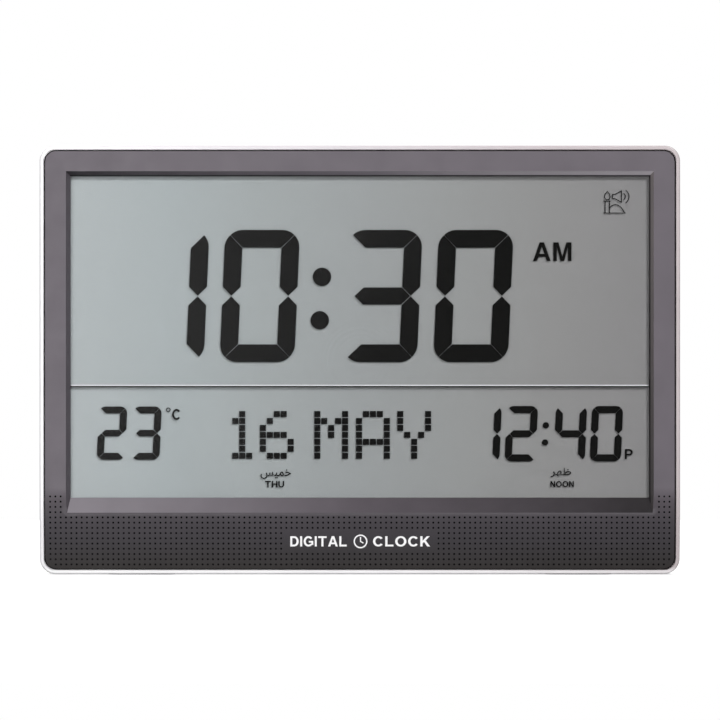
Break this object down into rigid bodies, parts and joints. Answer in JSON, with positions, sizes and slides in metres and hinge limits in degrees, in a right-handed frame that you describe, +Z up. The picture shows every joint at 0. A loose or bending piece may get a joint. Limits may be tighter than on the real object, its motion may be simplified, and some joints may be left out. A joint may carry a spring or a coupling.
{
  "type": "digital wall clock",
  "caption": "Large flat digital LCD wall and desk clock with calendar, thermometer, perforated sound chin, rear keys, battery door and folding stand leg.",
  "frame": {"origin": "middle of the underside, where the rubber feet rest", "axes": "+Z up, +X to the right of someone facing the display, the display faces -Y"},
  "size_m": [0.38, 0.034, 0.2547],
  "materials": {
    "dark_grey_plastic": "fine satin moulded",
    "silver_plastic": "pearl silver paint",
    "black_plastic": "fine texture",
    "grey_button_plastic": "fine texture",
    "clear_acrylic": "clear polished",
    "lcd_glass": "clear polished",
    "lcd_film": "polarising film",
    "reflector_film": "matt silver grey film",
    "foam": "fine closed-cell foam",
    "black_rubber": "matt",
    "pink_elastomer": "silicone with carbon stripes",
    "board_green": "solder mask",
    "chip_black": "moulded epoxy",
    "header_white": "nylon",
    "bright_steel": "nickel plated",
    "magnet_ferrite": "sintered",
    "cone_paper": "pressed fibre",
    "mesh_cloth": "fine woven",
    "ribbon_white": "flat flexible cable",
    "wire_red": "wire insulation",
    "cell_wrap": "printed sleeve, no lettering",
    "zinc_screw": "zinc plated"
  },
  "bodies": {
    "case": {"front_bezel": "dark_grey_plastic", "side_frame": "silver_plastic", "rear_cover": "black_plastic", "rubber_feet": "black_rubber", "display_lens": "clear_acrylic", "foam_gasket": "foam", "time_lcd_front_polariser": "lcd_film", "time_lcd_front_glass": "lcd_glass", "time_lcd_rear_glass": "lcd_glass", "time_lcd_reflector": "reflector_film", "time_lcd_zebra_strip": "pink_elastomer", "calendar_lcd_front_polariser": "lcd_film", "calendar_lcd_front_glass": "lcd_glass", "calendar_lcd_rear_glass": "lcd_glass", "calendar_lcd_reflector": "reflector_film", "calendar_lcd_zebra_strip": "pink_elastomer", "lcd_carrier": "black_plastic", "main_board": "board_green", "display_board": "board_green", "clock_chip": "chip_black", "sound_chip": "chip_black", "driver_chip": "chip_black", "board_headers": "header_white", "capacitors": "bright_steel", "quartz_crystal": "bright_steel", "temperature_sensor": "chip_black", "display_ribbon": "ribbon_white", "speaker_basket": "bright_steel", "speaker_magnet": "magnet_ferrite", "speaker_cone": "cone_paper", "speaker_gasket": "foam", "speaker_dust_mesh": "mesh_cloth", "speaker_screws": "zinc_screw", "battery_box": "black_plastic", "battery_cell_1": "cell_wrap", "battery_cell_2": "cell_wrap", "battery_cell_3": "cell_wrap", "battery_cell_4": "cell_wrap", "battery_contacts": "bright_steel", "battery_springs": "bright_steel", "key_board": "board_green", "key_switches": "chip_black", "alarm_switch_can": "bright_steel", "stand_pin": "bright_steel", "speaker_lead": "wire_red", "battery_lead": "wire_red", "key_board_lead": "ribbon_white", "case_screws": "zinc_screw", "tray_screws": "zinc_screw", "small_screws": "zinc_screw"},
    "battery_door": {"battery_door": "black_plastic"},
    "stand": {"stand_leg": "black_plastic", "stand_leg_pads": "black_rubber"},
    "mode_button": {"mode_button": "grey_button_plastic"},
    "up_button": {"up_button": "grey_button_plastic"},
    "down_button": {"down_button": "grey_button_plastic"},
    "alarm_button": {"alarm_button": "grey_button_plastic"},
    "zone_button": {"zone_button": "grey_button_plastic"},
    "reset_button": {"reset_button": "grey_button_plastic"},
    "alarm_switch": {"alarm_switch_knob": "grey_button_plastic"}
  },
  "joints": [
    {"name": "battery_door_hinge", "type": "hinge", "parent": "case", "child": "battery_door", "pos_m": [0, 0.0155, 0.1818], "axis": [1, 0, 0], "range_deg": [0, 95]},
    {"name": "stand_hinge", "type": "hinge", "parent": "case", "child": "stand", "pos_m": [0, 0.0136, 0.0096], "axis": [-1, 0, 0], "range_deg": [0, 80]},
    {"name": "mode_button_press", "type": "slide", "parent": "case", "child": "mode_button", "axis": [0, -1, 0], "range_m": [0, 0.0008], "stiffness_N_per_m": 900, "springref_m": -0.0005},
    {"name": "up_button_press", "type": "slide", "parent": "case", "child": "up_button", "axis": [0, -1, 0], "range_m": [0, 0.0008], "stiffness_N_per_m": 900, "springref_m": -0.0005},
    {"name": "down_button_press", "type": "slide", "parent": "case", "child": "down_button", "axis": [0, -1, 0], "range_m": [0, 0.0008], "stiffness_N_per_m": 900, "springref_m": -0.0005},
    {"name": "alarm_button_press", "type": "slide", "parent": "case", "child": "alarm_button", "axis": [0, -1, 0], "range_m": [0, 0.0008], "stiffness_N_per_m": 900, "springref_m": -0.0005},
    {"name": "zone_button_press", "type": "slide", "parent": "case", "child": "zone_button", "axis": [0, -1, 0], "range_m": [0, 0.0008], "stiffness_N_per_m": 900, "springref_m": -0.0005},
    {"name": "reset_button_press", "type": "slide", "parent": "case", "child": "reset_button", "axis": [0, -1, 0], "range_m": [0, 0.0008], "stiffness_N_per_m": 900, "springref_m": -0.0005},
    {"name": "alarm_switch_slide", "type": "slide", "parent": "case", "child": "alarm_switch", "axis": [1, 0, 0], "range_m": [0, 0.0035]}
  ]
}
